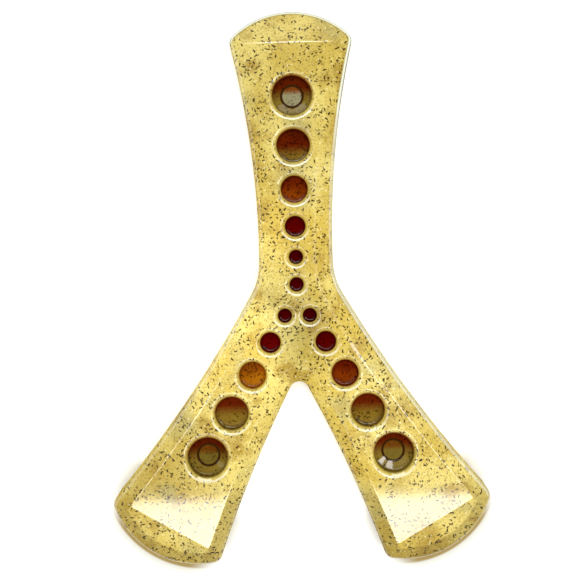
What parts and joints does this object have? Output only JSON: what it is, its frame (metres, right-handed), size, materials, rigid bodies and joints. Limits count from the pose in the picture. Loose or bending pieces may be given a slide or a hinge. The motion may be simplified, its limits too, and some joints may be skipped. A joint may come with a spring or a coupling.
{
  "type": "boomerang",
  "caption": "Three-armed throwing boomerang with flared arms, bevelled top edges, graded round pockets along each arm and tip weights under plugs.",
  "frame": {"origin": "the point where the three arm axes meet, on the flat underside", "axes": "+Y along the upper arm, +Z out of the pocketed face, +X to the right seen from above"},
  "size_m": [0.1868, 0.2732, 0.0159],
  "materials": {
    "speckled_resin": "glossy translucent cream-amber resin full of short dark brown fibre flecks",
    "plug_resin": "the same resin seen at the bottom of a deep pocket: glossy olive brown",
    "weight_steel": "turned steel"
  },
  "bodies": {
    "root": {"upper_shell": "speckled_resin", "lower_shell": "speckled_resin", "plug_upper": "plug_resin", "plug_left": "plug_resin", "plug_right": "plug_resin", "weight_upper": "weight_steel", "weight_left": "weight_steel", "weight_right": "weight_steel"}
  },
  "joints": []
}
